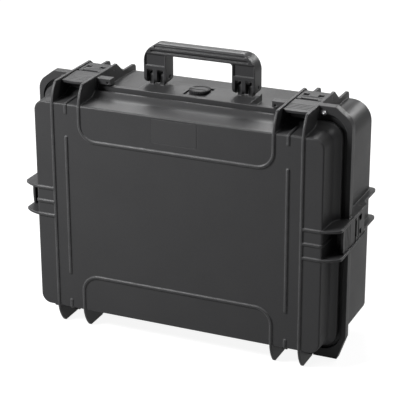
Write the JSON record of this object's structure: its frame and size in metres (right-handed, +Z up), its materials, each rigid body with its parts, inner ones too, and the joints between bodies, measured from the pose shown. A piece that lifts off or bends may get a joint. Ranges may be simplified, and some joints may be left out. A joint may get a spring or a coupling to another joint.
{
  "type": "hard case",
  "caption": "Upright moulded hard case with a hinged lid, two-part over-centre latches, a folding carrying handle, a turn valve and padlock ears, standing on its feet.",
  "frame": {"origin": "middle of the footprint on the floor, under the middle of the overall box", "axes": "+Z up with the case standing on its feet and the handle on top, the lid facing -Y, X along the case"},
  "size_m": [0.558, 0.211, 0.4855],
  "materials": {
    "shell_plastic": "fine grain, charcoal",
    "latch_plastic": "satin charcoal",
    "handle_plastic": "satin charcoal",
    "valve_plastic": "satin charcoal",
    "badge_plastic": "plain, fine grain",
    "seal_rubber": "dull",
    "pin_steel": "blackened and drawn",
    "eyelet_steel": "pressed, dull"
  },
  "bodies": {
    "base": {"base_shell": "shell_plastic", "hinge_pin_left": "pin_steel", "hinge_pin_right": "pin_steel", "padlock_eyelets": "eyelet_steel", "valve_seal": "seal_rubber", "valve_bush": "valve_plastic", "valve_nut": "valve_plastic", "latch_pin_top_left": "pin_steel", "latch_pin_top_right": "pin_steel", "latch_pin_side_left": "pin_steel", "latch_pin_side_right": "pin_steel"},
    "lid": {"lid_shell": "shell_plastic", "rim_gasket": "seal_rubber", "badge_plate": "badge_plastic"},
    "carry_handle": {"handle": "handle_plastic", "handle_pin_left": "pin_steel", "handle_pin_right": "pin_steel"},
    "valve_cap": {"valve_knob": "valve_plastic"},
    "latch_top_left": {"latch_body_top_left": "latch_plastic", "lever_pin_top_left": "pin_steel"},
    "lever_top_left": {"latch_lever_top_left": "latch_plastic"},
    "latch_top_right": {"latch_body_top_right": "latch_plastic", "lever_pin_top_right": "pin_steel"},
    "lever_top_right": {"latch_lever_top_right": "latch_plastic"},
    "latch_side_left": {"latch_body_side_left": "latch_plastic", "lever_pin_side_left": "pin_steel"},
    "lever_side_left": {"latch_lever_side_left": "latch_plastic"},
    "latch_side_right": {"latch_body_side_right": "latch_plastic", "lever_pin_side_right": "pin_steel"},
    "lever_side_right": {"latch_lever_side_right": "latch_plastic"}
  },
  "joints": [
    {"name": "lid_hinge", "type": "hinge", "parent": "base", "child": "lid", "pos_m": [0, -0.0415, 0.0095], "axis": [1, 0, 0], "range_deg": [0, 100]},
    {"name": "handle_fold", "type": "hinge", "parent": "base", "child": "carry_handle", "pos_m": [0, 0.009, 0.4289], "axis": [1, 0, 0], "range_deg": [-90, 90]},
    {"name": "valve_turn", "type": "hinge", "parent": "base", "child": "valve_cap", "pos_m": [0, 0, 0.4136], "axis": [0, 0, 1], "range_deg": [0, 270]},
    {"name": "latch_top_left_swing", "type": "hinge", "parent": "base", "child": "latch_top_left", "pos_m": [-0.19275, 0.0235, 0.423], "axis": [-1, 0, 0], "range_deg": [0, 100]},
    {"name": "lever_top_left_tip", "type": "hinge", "parent": "latch_top_left", "child": "lever_top_left", "pos_m": [-0.19275, -0.0155, 0.4235], "axis": [-1, 0, 0], "range_deg": [0, 60]},
    {"name": "latch_top_right_swing", "type": "hinge", "parent": "base", "child": "latch_top_right", "pos_m": [0.19275, 0.0235, 0.423], "axis": [-1, 0, 0], "range_deg": [0, 100]},
    {"name": "lever_top_right_tip", "type": "hinge", "parent": "latch_top_right", "child": "lever_top_right", "pos_m": [0.19275, -0.0155, 0.4235], "axis": [-1, 0, 0], "range_deg": [0, 60]},
    {"name": "latch_side_left_swing", "type": "hinge", "parent": "base", "child": "latch_side_left", "pos_m": [-0.271, 0.0235, 0.223], "axis": [0, 0, -1], "range_deg": [0, 100]},
    {"name": "lever_side_left_tip", "type": "hinge", "parent": "latch_side_left", "child": "lever_side_left", "pos_m": [-0.2715, -0.0155, 0.223], "axis": [0, 0, -1], "range_deg": [0, 60]},
    {"name": "latch_side_right_swing", "type": "hinge", "parent": "base", "child": "latch_side_right", "pos_m": [0.271, 0.0235, 0.223], "axis": [0, 0, 1], "range_deg": [0, 100]},
    {"name": "lever_side_right_tip", "type": "hinge", "parent": "latch_side_right", "child": "lever_side_right", "pos_m": [0.2715, -0.0155, 0.223], "axis": [0, 0, 1], "range_deg": [0, 60]}
  ]
}
